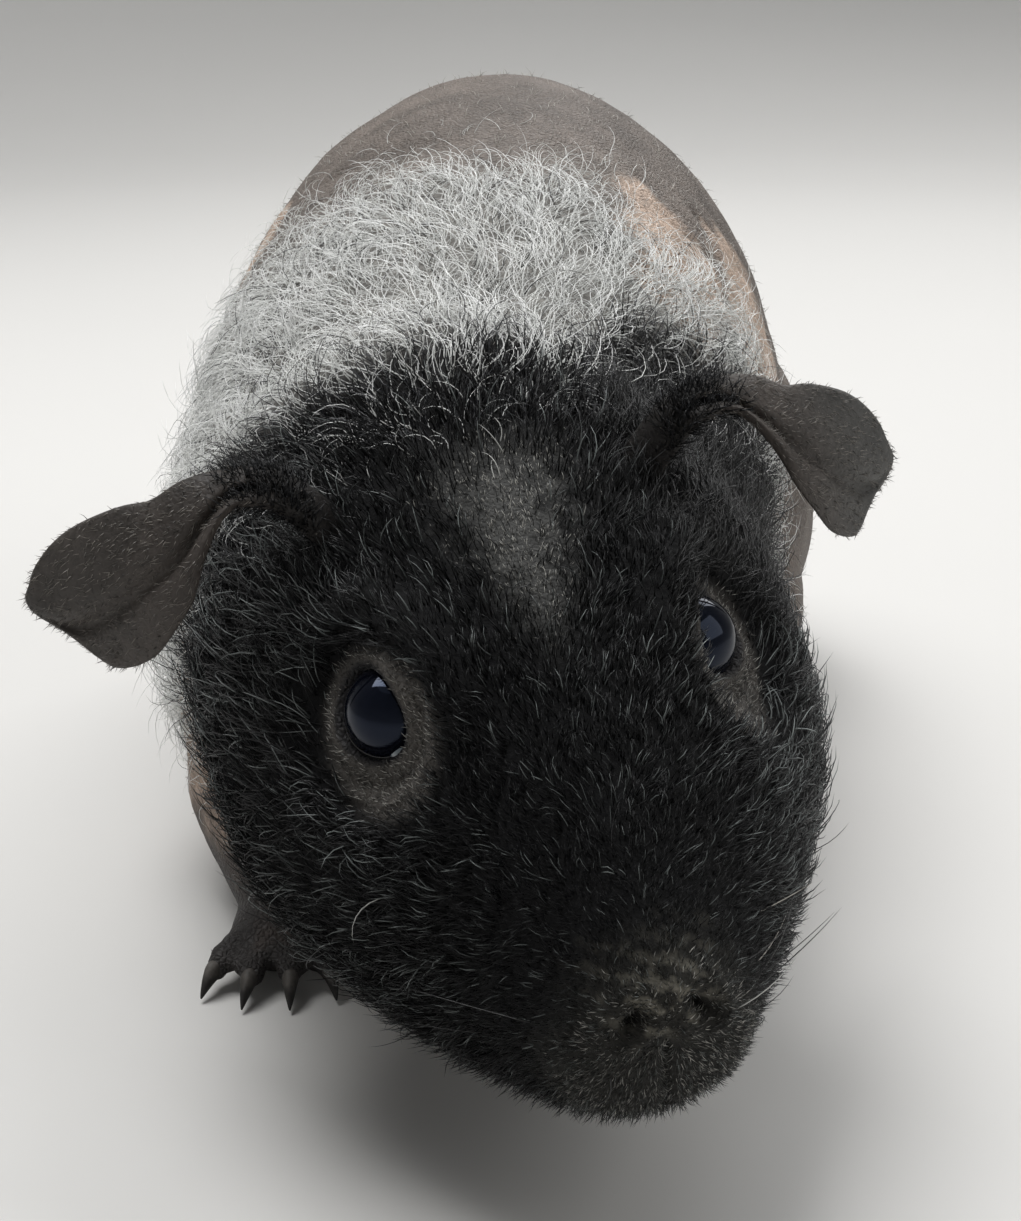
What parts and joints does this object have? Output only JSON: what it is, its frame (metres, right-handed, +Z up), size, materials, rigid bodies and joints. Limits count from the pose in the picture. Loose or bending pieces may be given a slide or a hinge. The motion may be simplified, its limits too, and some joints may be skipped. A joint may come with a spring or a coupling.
{
  "type": "skinny pig",
  "caption": "Nearly hairless guinea pig, crouched with its head low and turned a little to its left, with a curly mantle, drooping ears and short black fur on the face.",
  "frame": {"origin": "on the floor, under the middle of the whole animal", "axes": "+X to the animal's left, +Y to its rump, so it faces -Y, +Z up"},
  "size_m": [0.0964, 0.2115, 0.1006],
  "materials": {
    "bare_skin": "bare grey-brown skin, dull with a soft sheen",
    "leg_skin": "dark bare skin with a little short hair",
    "ear_skin": "thin dark skin with fine pale specks",
    "black_fur": "short black fur, a little curled",
    "silver_curls": "pale grey curly hair over dark skin",
    "eye_black": "wet black with a blue sheen"
  },
  "bodies": {
    "root": {"head": "black_fur", "neck": "silver_curls", "torso": "bare_skin", "ear_left": "ear_skin", "ear_right": "ear_skin", "eye_left": "eye_black", "eye_right": "eye_black", "front_leg_left": "leg_skin", "front_leg_right": "leg_skin", "hind_leg_left": "bare_skin", "hind_leg_right": "bare_skin"}
  },
  "joints": []
}
